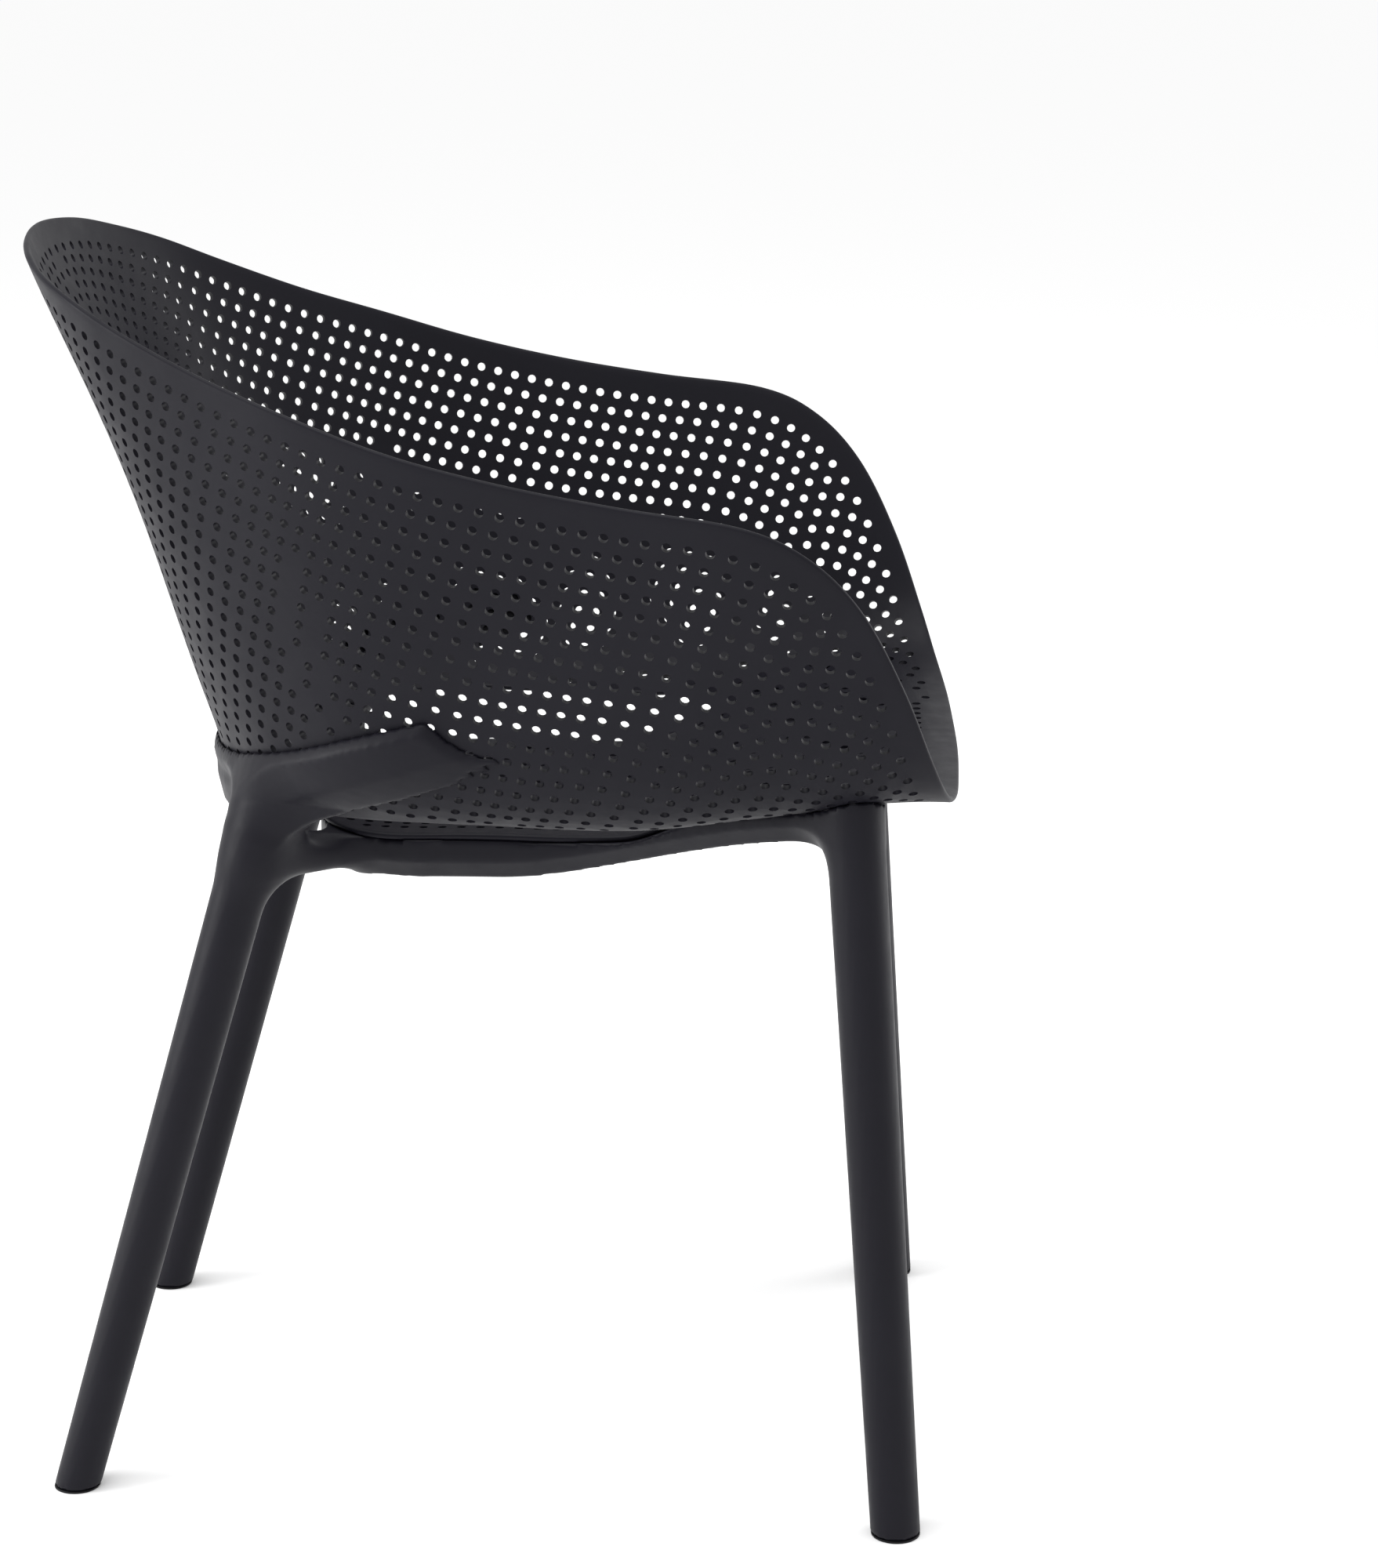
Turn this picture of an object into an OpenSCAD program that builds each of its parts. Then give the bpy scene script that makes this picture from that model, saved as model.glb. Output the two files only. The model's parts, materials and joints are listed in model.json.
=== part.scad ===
// Stacking armchair: a one-piece tub with seat, back and arms, carried by a one-piece four-leg frame.
// Millimetres. +Z is up, -Y is the front, X = 0 is the plane of symmetry and Z = 0 is the floor.

/* [Overall] */
// Width across the outside of the arms
chair_w = 548; // [480:1:640]
// Height of the top of the back above the floor
back_h = 811; // [740:1:900]
// Height of the highest part of the arms
arm_h = 665; // [630:1:700]
// Height of the front edge of the seat
lip_h = 463; // [455:1:480]
// Reach of the back behind the middle of the chair
back_reach = 299; // [270:1:330]
// Reach of the front edge in front of the middle
front_reach = 307; // [290:1:330]

/* [Tub] */
// Wall thickness of the tub
wall = 4; // [3:0.5:5]
// Width of the tub at the turn from walls to seat
base_w = 452; // [430:1:470]
// Underside of the seat pan in the middle of its rear half
pan_h = 424; // [420:1:430]
// Length of wall used up by the turn into the seat, at the sides
turn_up = 70; // [40:1:90]
// Length of seat used up by the same turn
turn_in = 50; // [30:1:60]
// Forward swell of the back at lumbar height
lumbar = 15; // [0:1:20]

/* [Slot for the legs of the chair above] */
// Half width of the seat tongue inside the slot
tongue_half = 127; // [115:1:132]
// Half width to the outer side of the slot
slot_half = 181; // [176:1:186]
// Rear end of the tongue
tongue_rear = 112; // [100:1:116]
// Rear side of the slot
slot_rear = 165; // [155:1:168]
// Front end of the slot, measured forward from the middle
slot_front = 112; // [90:1:130]

/* [Legs] */
// Spread of the front legs at the floor, axis to axis
front_spread = 442; // [420:1:470]
// Distance between front and rear leg axes at the floor
wheelbase = 540; // [500:1:580]
// Spread of the rear legs at the floor, axis to axis
rear_spread = 347.4; // [330:0.1:380]
// Foot diameter of a front leg
front_foot_d = 32; // [26:0.5:38]
// Foot diameter of a rear leg
rear_foot_d = 29.4; // [24:0.2:36]

/* [Under-seat ring] */
// Width of the ring rail seen from below
rail_w = 30; // [27:1:34]
// Underside of the ring beneath the rear half of the seat
rail_bottom = 404; // [396:1:408]
// Width of the sloping outer edge along the bottom of the rail
rail_bevel = 14; // [8:1:15]
// Distance of the screws in from the outer face of the rail
screw_inset = 22; // [21:0.5:23]

/* [Rear cradle] */
// Thickness of the cradle around the back
cradle_t = 9; // [7:0.5:11]

/* [Feet and screws] */
// Height of the leg's lower end above the floor, on its axis
glide_h = 6; // [5.5:0.5:8]
// Depth of the glide's stem in the leg
glide_stem = 18; // [12:1:25]
// Shank diameter of the seat screws
screw_d = 5; // [4:0.5:6]
// Length of the screw under its head
screw_len = 22; // [18:1:26]
// Outside diameter of a screw boss on the tub
boss_d = 11; // [10:0.5:13]

/* [Hidden] */
plastic = [0.16, 0.155, 0.175];
glide_colour = [0.10, 0.10, 0.11];
steel = [0.62, 0.63, 0.65];

eps = 0.01;
seat_gap = 0.2;        // clearance between frame and tub
fit_gap = 0.15;        // clearance of stems and shanks in their holes
sleeve = 0.3;          // how far the moulded top of a leg stands out from the leg below
half_w = chair_w / 2;
half_base = base_w / 2;
depth = back_reach + front_reach;

// Rim, from the middle of the back round one arm to the middle of the front edge. Each station is
// [share of the half width, share of the depth from the front, level], and a level runs from 0 at the
// front edge through 1 at the top of the arm to 2 at the top of the back.
rim_form = [[0, 1, 2], [0.263, 0.988, 1.97], [0.453, 0.96, 1.9], [0.591, 0.916, 1.81], [0.693, 0.851, 1.68],
            [0.785, 0.766, 1.53], [0.869, 0.677, 1.4], [0.927, 0.573, 1.26], [0.956, 0.46, 1.15],
            [0.978, 0.347, 1.07], [1, 0.229, 1], [0.989, 0.163, 0.91], [0.956, 0.111, 0.75],
            [0.912, 0.068, 0.505], [0.839, 0.036, 0.25], [0.715, 0.018, 0.094], [0.511, 0.007, 0.025],
            [0.255, 0.002, 0.005], [0, 0, 0]];
last = len(rim_form) - 1;

// Turn line, where each wall would meet the seat if the corner were sharp, at the same stations:
// [share of half the base width, distance behind the middle, height above the seat pan].
turn_form = [[0, 175, 38], [0.212, 172, 38], [0.407, 161, 38], [0.575, 143, 38], [0.726, 118, 34],
             [0.841, 86, 32], [0.903, 56, 32], [0.934, 22, 33], [0.947, -14, 33], [0.96, -58, 32],
             [0.978, -105, 33], [0.991, -138, 37], [1, -172, 43], [1, -205, 48], [0.947, -238, 52],
             [0.779, -260, 49], [0.531, -270, 44], [0.265, -274, 42], [0, -275, 41]];

// Where each rib meets the middle of the seat, as a distance behind the middle of the chair.
spine_form = [105, 98, 88, 76, 62, 46, 28, 8, -14, -38, -64, -88, -112, -136, -160, -184, -206, -226, -240];

function level(k) = k < 1 ? lip_h + k * (arm_h - lip_h) : arm_h + (k - 1) * (back_h - arm_h);
function smooth(x) = let (k = min(1, max(0, x))) k * k * (3 - 2 * k);
function mix(a, b, k) = a + (b - a) * k;
function unit(v) = v / norm(v);

rim = [for (f = rim_form) [f[0] * half_w, f[1] * depth - front_reach, level(f[2])]];
turn = [for (f = turn_form) [f[0] * half_base, f[1], pan_h + f[2]]];

// Catmull-Rom curve through the stations, mirrored in x beyond both ends
function flip(p) = is_list(p) ? [-p[0], p[1], p[2]] : p;
function station(p, i) = i < 0 ? flip(p[-i]) : i > last ? flip(p[2 * last - i]) : p[i];
function curve(p, t) = let (i = min(last - 1, floor(t)), f = t - i, a = station(p, i - 1), b = station(p, i),
    c = station(p, i + 1), d = station(p, i + 2))
    0.5 * (2 * b + (c - a) * f + (2 * a - 5 * b + 4 * c - d) * f * f + (3 * b - a - 3 * c + d) * f * f * f);

// The seat pan sinks inside the slot, and rises to the front edge.
pan_sink = 22;
front_rise = 30;
function sink(p) = pan_sink * smooth((185 - abs(p[0])) / 58) * smooth((p[1] + 170) / 80)
    * (1 - smooth((p[2] - pan_h - 16) / 60));
function spine_z(y) = pan_h + mix(pan_sink, front_rise, smooth((-y - 90) / 150));

// One rib of the tub's outer skin: down the wall, round the turn and in to the middle of the seat.
// t is the station and v runs from 0 at the rim to 1 at the middle of the seat.
function bare_rib(t, v) = let (r = curve(rim, t), k = curve(turn, t), y = curve(spine_form, t), c = [0, y, spine_z(y)],
    up = norm(r - k), in = norm(c - k), back = exp(-t * t / 16),
    l1 = min(mix(turn_up, turn_up / 7, back), 0.6 * up), l2 = min(turn_in, 0.6 * in),
    q1 = k + (r - k) * l1 / up, q2 = k + (c - k) * l2 / in,
    a = up - l1, b = 0.93 * (l1 + l2), s = v * (a + b + in - l2), f = (s - a) / b)
    s < a ? mix(r, q1, s / a)
    : s < a + b ? (1 - f) * (1 - f) * q1 + 2 * f * (1 - f) * k + f * f * q2
    : mix(q2, c, (s - a - b) / (in - l2));
function swell(p) = let (f = min(1, max(0, (p[2] - pan_h - 31) / (back_h - pan_h - 31))))
    lumbar * (1 - smooth(abs(p[0]) / 200)) * smooth((p[1] - 60) / 80) * pow(sin(180 * pow(f, 1.4)), 2);
function half_skin(t, v) = let (p = bare_rib(t, v)) p - [0, swell(p), sink(p)];

// The same skin all the way round: s runs from -last to last, and 0 is the middle of the back.
function skin(s, v) = let (w = s > last ? s - 2 * last : s < -last ? s + 2 * last : s, p = half_skin(abs(w), v))
    w < 0 ? [-p[0], p[1], p[2]] : p;
step = 0.02;
function outward(s, v) = let (k = min(0.985, max(0.005, v)))
    unit(cross(skin(s + step, k) - skin(s - step, k), skin(s, k + 0.004) - skin(s, k - 0.004)));
function offset_skin(s, v, d) = skin(s, v) + d * outward(s, v);

// Where a rib passes a height, found by halving
function v_at(s, z, lo = 0, hi = 0.9, n = 12) = n == 0 ? (lo + hi) / 2 : let (m = (lo + hi) / 2)
    skin(s, m)[2] > z ? v_at(s, z, m, hi, n - 1) : v_at(s, z, lo, m, n - 1);

// Triangles of a grid of r rows and c columns whose corner numbers come from a function
function two(a, b, c, d) = [[a, b, c], [a, c, d]];

// Tub grid: columns are ribs, rows run from the rim to the middle line, which both sides share.
per_station = 2;
cols = 2 * last * per_station;
rows = 18;
function col_s(i) = (i - cols / 2) / per_station;
function own(i, j) = j < rows ? i * rows + j : cols * rows + (i <= cols / 2 ? i : cols - i);
function wrap(i) = i % cols;
own_count = cols * rows + cols / 2 + 1;
function layer(d) = concat([for (i = [0 : cols - 1], j = [0 : rows - 1]) offset_skin(col_s(i), j / rows, d)],
    [for (i = [0 : cols / 2]) let (p = offset_skin(col_s(i), 1, d)) [0, p[1], p[2]]]);
function layer_faces(base, turned) = [for (i = [0 : cols - 1], j = [0 : rows - 1],
    f = let (a = base + own(i, j), b = base + own(wrap(i + 1), j), c = base + own(wrap(i + 1), j + 1),
        d = base + own(i, j + 1)) turned ? two(d, c, b, a) : two(a, b, c, d))
    if (f[0] != f[1] && f[1] != f[2] && f[0] != f[2]) f];

module tub_sheet() {
    edge = [for (i = [0 : cols - 1], f = two(own(i, 0), own(wrap(i + 1), 0), own_count + own(wrap(i + 1), 0),
        own_count + own(i, 0))) f];
    polyhedron(concat(layer(0), layer(-wall)), concat(layer_faces(0, true), layer_faces(own_count, false), edge));
}

// Everything inside the skin moved outward by d, for cutting what lies under the tub to fit it
module tub_core(d) {
    top = own_count;
    lid = [for (i = [0 : cols - 1]) [own(i, 0), own(wrap(i + 1), 0), top]];
    polyhedron(concat(layer(d), [[0, 0, back_h + 50]]), concat(layer_faces(0, true), lid));
}

// U-shaped slot round the rear of the seat, seen from above
module u_outline(half, rear, corner, front) {
    for (side = [-1, 1]) translate([side * (half - corner), rear - corner]) circle(corner, $fn = 64);
    translate([-half, -front]) square([2 * half, front + rear - corner]);
    translate([corner - half, -front]) square([2 * (half - corner), front + rear]);
}
slot_corner = 140;
tongue_corner = 60;
slot_end_r = (slot_half - tongue_half) / 2;
module slot_cut() {
    translate([0, 0, pan_h - 40]) linear_extrude(100) {
        difference() {
            u_outline(slot_half, slot_rear, slot_corner, slot_front);
            u_outline(tongue_half, tongue_rear, tongue_corner, slot_front + 10);
        }
        for (side = [-1, 1])
            translate([side * (tongue_half + slot_end_r), -slot_front]) circle(slot_end_r, $fn = 48);
    }
}

// Screws: two on each side of the ring and two in its front rail
screw_side_y = [45, -40];
front_rail_y = -247;
screw_front_x = 70;
screw_spots = concat([for (side = [-1, 1], y = screw_side_y) [side * (tongue_half - screw_inset), y]],
    [for (side = [-1, 1]) [side * screw_front_x, front_rail_y + screw_inset]]);
head_d = 10;
head_h = 3.5;
boss_depth = 8;
function under(p) = p[1] < -200 ? spine_z(p[1]) : pan_h + 4;
function head_z(p) = under(p) - boss_depth - 6 - head_h;

// Everything is drawn with Y = 0 midway between the leg feet, then moved to centre the chair on Y = 0.
module placed() { translate([0, (front_reach - back_reach) / 2, 0]) children(); }

module seat_shell() {
    color(plastic) placed() difference() {
        union() {
            difference() {
                tub_sheet();
                slot_cut();
            }
            difference() {
                for (p = screw_spots) translate([p[0], p[1], under(p) - boss_depth])
                    cylinder(d = boss_d, h = boss_depth + 20, $fn = 32);
                tub_core(-wall / 2);
            }
        }
        for (p = screw_spots) translate([p[0], p[1], under(p) - boss_depth - eps])
            cylinder(d = screw_d + 2 * fit_gap, h = boss_depth + 1, $fn = 24);
    }
}

// Legs: round, tapered and cut flat at the floor. Each is [foot point, top point, foot radius, top radius].
leg_top = 478;
leg_join = 425;
rear_join = 396;
front_lean = [-25, 32];
rear_lean = [-24.1, -138.5];
front_top_r = 18.4;
rear_top_r = 17.9;
function leg(front, side) = front
    ? [[side * front_spread / 2, -wheelbase / 2, 0],
       [side * (front_spread / 2 + front_lean[0]), -wheelbase / 2 + front_lean[1], leg_top], front_foot_d / 2, front_top_r]
    : [[side * rear_spread / 2, wheelbase / 2, 0],
       [side * (rear_spread / 2 + rear_lean[0]), wheelbase / 2 + rear_lean[1], leg_top], rear_foot_d / 2, rear_top_r];
function along(l, z) = mix(l[0], l[1], z / leg_top);

// Draws along a leg's axis, from the point of the axis at height z
module on_axis(l, z) {
    d = l[1] - l[0];
    translate(along(l, z)) rotate([0, acos(d[2] / norm(d)), atan2(d[1], d[0])]) children();
}
function leg_r(l, z) = mix(l[2], l[3], z / leg_top);

module tapered(l, z0, z1, grow = 0) {
    on_axis(l, z0) cylinder(h = norm(along(l, z1) - along(l, z0)), r1 = leg_r(l, z0) + grow,
        r2 = leg_r(l, z1) + grow, $fn = 48);
}

// A leg ends square to its own axis, above a wedge-shaped glide.
module leg_solid(l) {
    difference() {
        tapered(l, glide_h, leg_join + 12);
        on_axis(l, glide_h) translate([0, 0, -eps]) cylinder(r = stem_r + fit_gap, h = glide_stem + 1, $fn = 32);
    }
}

// Ring under the seat: half of its outer edge in plan, from the rear middle to the front middle
ring_half = [[0, tongue_rear], [tongue_half - tongue_corner, tongue_rear],
    [tongue_half - 0.29 * tongue_corner, tongue_rear - 0.29 * tongue_corner], [tongue_half, tongue_rear - tongue_corner],
    [tongue_half, 20], [tongue_half, -30], [tongue_half + 4, -70], [tongue_half + 17, -110],
    [tongue_half + 34, -150], [tongue_half + 52, -190], [tongue_half + 62, -222], [tongue_half + 45, front_rail_y],
    [tongue_half, front_rail_y], [60, front_rail_y], [0, front_rail_y]];
ring_last = len(ring_half) - 1;
ring_all = concat([for (i = [0 : ring_last]) ring_half[i]],
    [for (i = [ring_last - 1 : -1 : 1]) [-ring_half[i][0], ring_half[i][1]]]);
ring_n = len(ring_all);
function ring_in(i) = let (a = ring_all[(i + ring_n - 1) % ring_n], b = ring_all[(i + 1) % ring_n], d = unit(b - a))
    [d[1], -d[0]];
front_rail_drop = 22;
function ring_low(p) = rail_bottom + 44 * smooth((-p[1] - 10) / 220)
    - front_rail_drop * smooth((-p[1] - 215) / 30) * smooth((190 - abs(p[0])) / 40);
rail_cover = 70;
ring_rim = 15;
function ring_section(i) = let (p = ring_all[i], n = ring_in(i), z = ring_low(p))
    [for (q = [[0, z + rail_cover], [0, z + ring_rim], [rail_bevel, z], [rail_w, z], [rail_w, z + rail_cover]])
        [p[0] + n[0] * q[0], p[1] + n[1] * q[0], q[1]]];
module ring() {
    pts = [for (i = [0 : ring_n - 1], p = ring_section(i)) p];
    faces = [for (i = [0 : ring_n - 1], j = [0 : 4], f = two(5 * i + j, 5 * i + (j + 1) % 5,
        5 * ((i + 1) % ring_n) + (j + 1) % 5, 5 * ((i + 1) % ring_n) + j)) f];
    polyhedron(pts, faces);
}

// Cradle round the back: a band on the outer skin that rises to an ear on each side and ends in a point.
// Each entry is [station, height of its top edge, height of its bottom edge].
cradle_form = [[0, 482, 434], [1.5, 484, 435], [3, 491, 440], [4, 500, 450], [4.6, 506, 457], [5.3, 514, 466],
    [5.9, 521, 473], [6.6, 529, 481], [7.1, 535, 488], [7.4, 523, 492], [7.7, 515, 498], [8.1, 511, 507]];
cradle_last = len(cradle_form) - 1;
cradle_rows = [[0, 0.35], [0.16, 1], [0.62, 1], [1, 0.3]];
cradle_cols = [for (i = [cradle_last : -1 : 1]) [-cradle_form[i][0], cradle_form[i][1], cradle_form[i][2]],
    for (i = [0 : cradle_last]) cradle_form[i]];
cradle_n = len(cradle_cols);
cradle_hold = 8;        // below this height above the turn line the cradle hangs straight down
function cradle_point(c, w, d) = let (z = mix(c[1], c[2], w), hold = curve(turn, abs(c[0]))[2] + cradle_hold,
    p = offset_skin(c[0], v_at(c[0], max(z, hold)), d))
    z > hold ? p : [p[0], p[1], p[2] - hold + z];
function cradle_ring(c) = let (thin = 1 - 0.6 * smooth((abs(c[0]) - 6.5) / 1.6))
    concat([for (r = cradle_rows) cradle_point(c, r[0], cradle_t * r[1] * thin)],
        [for (k = [len(cradle_rows) - 1 : -1 : 0]) cradle_point(c, cradle_rows[k][0], -wall / 2)]);
module cradle() {
    n = 2 * len(cradle_rows);
    pts = [for (c = cradle_cols, p = cradle_ring(c)) p];
    sides = [for (i = [0 : cradle_n - 2], j = [0 : n - 1],
        f = two(n * i + j, n * i + (j + 1) % n, n * (i + 1) + (j + 1) % n, n * (i + 1) + j)) f];
    polyhedron(pts, concat(sides, [[for (j = [n - 1 : -1 : 0]) j]], [[for (j = [0 : n - 1]) n * (cradle_n - 1) + j]]));
}

// Rear corner: the leg swells into the cradle, and an arm runs from the leg in to the ring.
module rear_corner(side) {
    l = leg(false, side);
    top = along(l, 455);
    hull() {
        tapered(l, rear_join, rear_join + 4, sleeve);
        translate(top + [side * 6, 2, 10]) sphere(r = 21, $fn = 32);
        translate(top + [side * 24, -38, 22]) sphere(r = 12, $fn = 24);
        translate(top + [-side * 44, 30, 4]) sphere(r = 12, $fn = 24);
    }
    hull() {
        tapered(l, 404, 436, sleeve);
        translate([side * (tongue_half - 24), tongue_rear - 30, rail_bottom + 10]) sphere(r = 9, $fn = 24);
        translate([side * (tongue_half - 24), tongue_rear - 30, rail_bottom + 22]) sphere(r = 9, $fn = 24);
    }
}

// Front corner: a web fills the angle between the leg and the ring.
module front_corner(side) {
    l = leg(true, side);
    hull() {
        tapered(l, leg_join, leg_top, sleeve);
        translate([side * (tongue_half + 44), -196, ring_low([0, -196]) + 10]) sphere(r = 8, $fn = 24);
        translate([side * (tongue_half + 44), -196, ring_low([0, -196]) + 22]) sphere(r = 8, $fn = 24);
    }
}

// Everything above the legs: corners, ring and cradle, cut to fit under the tub
module upper_frame() {
    difference() {
        union() {
            for (side = [-1, 1]) {
                rear_corner(side);
                front_corner(side);
            }
            ring();
            cradle();
        }
        tub_core(seat_gap);
        for (p = screw_spots) translate([p[0], p[1], under(p) - boss_depth - fit_gap])
            cylinder(d = boss_d + 4 * fit_gap, h = 30, $fn = 32);
        for (p = screw_spots) translate([p[0], p[1], head_z(p) - 60 + head_h])
            cylinder(d = head_d + 1, h = 60, $fn = 32);
        for (p = screw_spots) translate([p[0], p[1], head_z(p)])
            cylinder(d = screw_d + 4 * fit_gap, h = 30, $fn = 24);
    }
}

// The legs join one smooth mesh: resize() with zeros changes no size.
module leg_frame() {
    color(plastic) placed() {
        for (side = [-1, 1], front = [true, false]) leg_solid(leg(front, side));
        resize([0, 0, 0]) upper_frame();
    }
}

// Foot glide: a wedge under the square end of the leg, flat on the floor, and a stem pressed up into the leg
stem_r = 8;
module glide(l) {
    color(glide_colour) placed() resize([0, 0, 0]) difference() {
        on_axis(l, glide_h) {
            translate([0, 0, -3 * glide_h]) cylinder(r = leg_r(l, 0) - 0.5, h = 3 * glide_h - seat_gap, $fn = 48);
            translate([0, 0, -1]) cylinder(r = stem_r, h = glide_stem, $fn = 48);
        }
        translate(l[0] + [-50, -50, -100]) cube(100);
    }
}
module front_left_glide() { glide(leg(true, 1)); }
module front_right_glide() { glide(leg(true, -1)); }
module rear_left_glide() { glide(leg(false, 1)); }
module rear_right_glide() { glide(leg(false, -1)); }

// Pan-head screws driven up through the ring into the bosses of the tub
module seat_screws() {
    color(steel) placed() for (p = screw_spots) translate([p[0], p[1], head_z(p)]) difference() {
        union() {
            rotate_extrude($fn = 32) polygon([[0, 0], [head_d / 2 - 1.2, 0], [head_d / 2, 1.2],
                [head_d / 2, head_h - 0.1], [0, head_h - 0.1]]);
            cylinder(d = screw_d, h = head_h + screw_len - 9, $fn = 24);
        }
        for (turn_by = [0, 90]) rotate([0, 0, turn_by]) translate([-3, -0.6, -eps]) cube([6, 1.2, 1.8]);
    }
}

seat_shell();
leg_frame();
front_left_glide();
front_right_glide();
rear_left_glide();
rear_right_glide();
seat_screws();
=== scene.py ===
"""A stacking armchair: a perforated one-piece tub, held by screws on a one-piece frame with four legs."""

import json
import math

import bmesh
import bpy
import numpy as np
import openvdb
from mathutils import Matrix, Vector
from mathutils.geometry import delaunay_2d_cdt

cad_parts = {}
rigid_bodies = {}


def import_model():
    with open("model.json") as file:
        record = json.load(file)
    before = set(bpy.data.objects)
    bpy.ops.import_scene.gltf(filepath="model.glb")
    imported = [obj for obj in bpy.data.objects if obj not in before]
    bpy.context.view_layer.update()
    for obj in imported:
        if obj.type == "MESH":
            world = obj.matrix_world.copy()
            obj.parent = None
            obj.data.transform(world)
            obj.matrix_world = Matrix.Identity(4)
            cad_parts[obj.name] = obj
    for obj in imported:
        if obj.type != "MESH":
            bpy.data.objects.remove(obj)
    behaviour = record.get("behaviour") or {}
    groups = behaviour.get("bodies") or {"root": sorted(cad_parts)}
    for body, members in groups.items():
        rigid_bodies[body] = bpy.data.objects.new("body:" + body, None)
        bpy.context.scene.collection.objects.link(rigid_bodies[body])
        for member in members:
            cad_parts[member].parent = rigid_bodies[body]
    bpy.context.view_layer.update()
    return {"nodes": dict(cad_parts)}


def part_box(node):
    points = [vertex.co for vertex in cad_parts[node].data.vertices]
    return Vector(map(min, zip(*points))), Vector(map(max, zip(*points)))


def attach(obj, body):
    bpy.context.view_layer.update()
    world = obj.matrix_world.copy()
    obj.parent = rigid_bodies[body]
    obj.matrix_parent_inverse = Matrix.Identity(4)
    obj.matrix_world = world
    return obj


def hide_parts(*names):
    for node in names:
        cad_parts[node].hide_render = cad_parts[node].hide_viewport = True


for stray in list(bpy.data.objects):
    bpy.data.objects.remove(stray)
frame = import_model()

MM = 0.001          # shapes are worked out in millimetres, and meshes are made in metres
SHIFT_Y = 4.0       # the tub's curves are drawn 4 mm in front of the frame's centre

# ---------------------------------------------------------------- the tub's curves, as in the CAD model

HALF_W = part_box("seat_shell")[1][0] / MM
BACK_H = 811.0
ARM_H = 665.0
LIP_H = 463.0
FRONT_REACH = 307.0
DEPTH = 606.0
WALL = 4.0
HALF_BASE = 226.0
PAN_H = 424.0
TURN_UP = 70.0
TURN_IN = 50.0
LUMBAR = 15.0
SINK = 22.0
FRONT_RISE = 30.0
BEND_SHARE = 0.93   # length of the tub's turn against the two straight ends that it replaces

# Rim stations: share of the half width, share of the depth from the front, level from 0 to 2
RIM_FORM = [
    (0, 1, 2), (0.263, 0.988, 1.97), (0.453, 0.96, 1.9), (0.591, 0.916, 1.81), (0.693, 0.851, 1.68),
    (0.785, 0.766, 1.53), (0.869, 0.677, 1.4), (0.927, 0.573, 1.26), (0.956, 0.46, 1.15),
    (0.978, 0.347, 1.07), (1, 0.229, 1), (0.989, 0.163, 0.91), (0.956, 0.111, 0.75),
    (0.912, 0.068, 0.505), (0.839, 0.036, 0.25), (0.715, 0.018, 0.094), (0.511, 0.007, 0.025),
    (0.255, 0.002, 0.005), (0, 0, 0),
]
# Turn stations: share of half the base width, distance behind the middle, height above the pan
TURN_FORM = [
    (0, 175, 38), (0.212, 172, 38), (0.407, 161, 38), (0.575, 143, 38), (0.726, 118, 34),
    (0.841, 86, 32), (0.903, 56, 32), (0.934, 22, 33), (0.947, -14, 33), (0.96, -58, 32),
    (0.978, -105, 33), (0.991, -138, 37), (1, -172, 43), (1, -205, 48), (0.947, -238, 52),
    (0.779, -260, 49), (0.531, -270, 44), (0.265, -274, 42), (0, -275, 41),
]
SPINE_FORM = [105, 98, 88, 76, 62, 46, 28, 8, -14, -38, -64, -88, -112, -136, -160, -184, -206, -226, -240]
LAST = len(RIM_FORM) - 1


def mix(a, b, k):
    return a + (b - a) * k


def smooth(x):
    x = np.clip(x, 0, 1)
    return x * x * (3 - 2 * x)


def unit(v):
    return v / np.linalg.norm(v, axis=-1, keepdims=True)


def pan_rise(y):
    """How high the middle of the seat is above the pan's level, before it is dished."""
    return mix(SINK, FRONT_RISE, smooth((-y - 90) / 150))


def level(k):
    return mix(LIP_H, ARM_H, k) if k < 1 else mix(ARM_H, BACK_H, k - 1)


RIM = np.array([(x * HALF_W, y * DEPTH - FRONT_REACH, level(k)) for x, y, k in RIM_FORM])
TURN = np.array([(x * HALF_BASE, y, PAN_H + z) for x, y, z in TURN_FORM])
SPINE = np.array(SPINE_FORM, float)[:, None]


def curve(points, t):
    """Catmull-Rom curve through the stations, mirrored in x beyond both ends."""
    flip = (-1, 1, 1) if points.shape[1] == 3 else 1
    padded = np.vstack([points[1] * flip, points, points[-2] * flip])
    i = np.clip(np.floor(t).astype(int), 0, LAST - 1)
    f = (t - i)[:, None]
    a, b, c, d = (padded[i + k] for k in range(4))
    return 0.5 * (2 * b + (c - a) * f + (2 * a - 5 * b + 4 * c - d) * f**2 + (3 * b - a - 3 * c + d) * f**3)


def rib_form(t):
    """The straight ends and the corner of the ribs at stations t."""
    rim, corner, y = curve(RIM, t), curve(TURN, t), curve(SPINE, t)[:, 0]
    middle = np.stack([0 * y, y, PAN_H + pan_rise(y)], 1)
    up, inward = np.linalg.norm(rim - corner, axis=1), np.linalg.norm(middle - corner, axis=1)
    turn_up = np.minimum(mix(TURN_UP, TURN_UP / 7, np.exp(-t * t / 16)), 0.6 * up)
    turn_in = np.minimum(TURN_IN, 0.6 * inward)
    return rim, corner, middle, up, inward, turn_up, turn_in


def rib_length(t):
    """What v = 1 is worth along the wall, in millimetres."""
    *_, up, inward, turn_up, turn_in = rib_form(t)
    return up - turn_up + BEND_SHARE * (turn_up + turn_in) + inward - turn_in


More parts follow.
